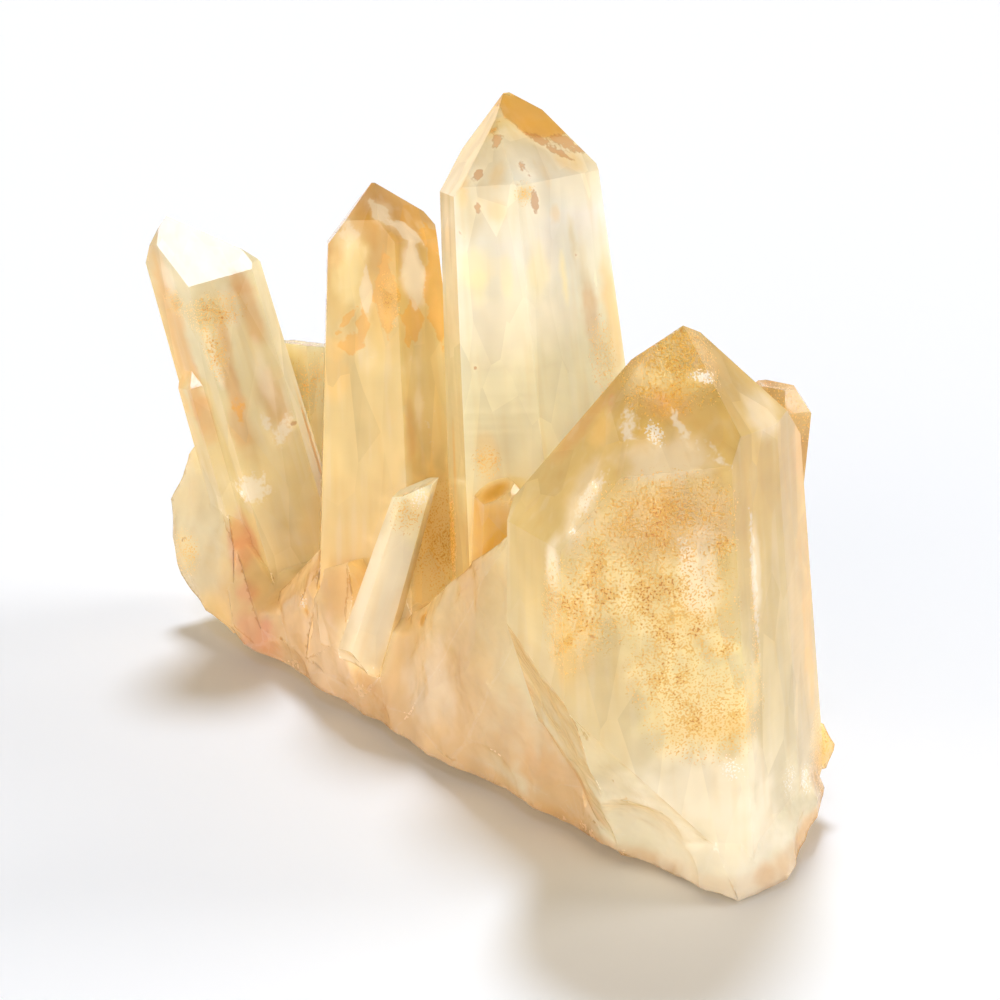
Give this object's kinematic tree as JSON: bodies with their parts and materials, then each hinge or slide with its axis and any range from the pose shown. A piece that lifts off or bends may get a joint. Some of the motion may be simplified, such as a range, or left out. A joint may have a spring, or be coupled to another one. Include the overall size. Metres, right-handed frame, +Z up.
{
  "type": "quartz cluster",
  "caption": "Cluster of clear to milky quartz crystals with golden iron stains, grown together on a root of massive quartz that rests flat.",
  "frame": {"origin": "middle of the cluster's bounding box, at the level of the flat seat it rests on", "axes": "+X along the row of crystals toward the largest one, -Y the front with the broken white crystal, +Z up"},
  "size_m": [0.1808, 0.0782, 0.132],
  "materials": {
    "quartz": "polished"
  },
  "bodies": {
    "root": {"quartz_cluster": "quartz"}
  },
  "joints": []
}
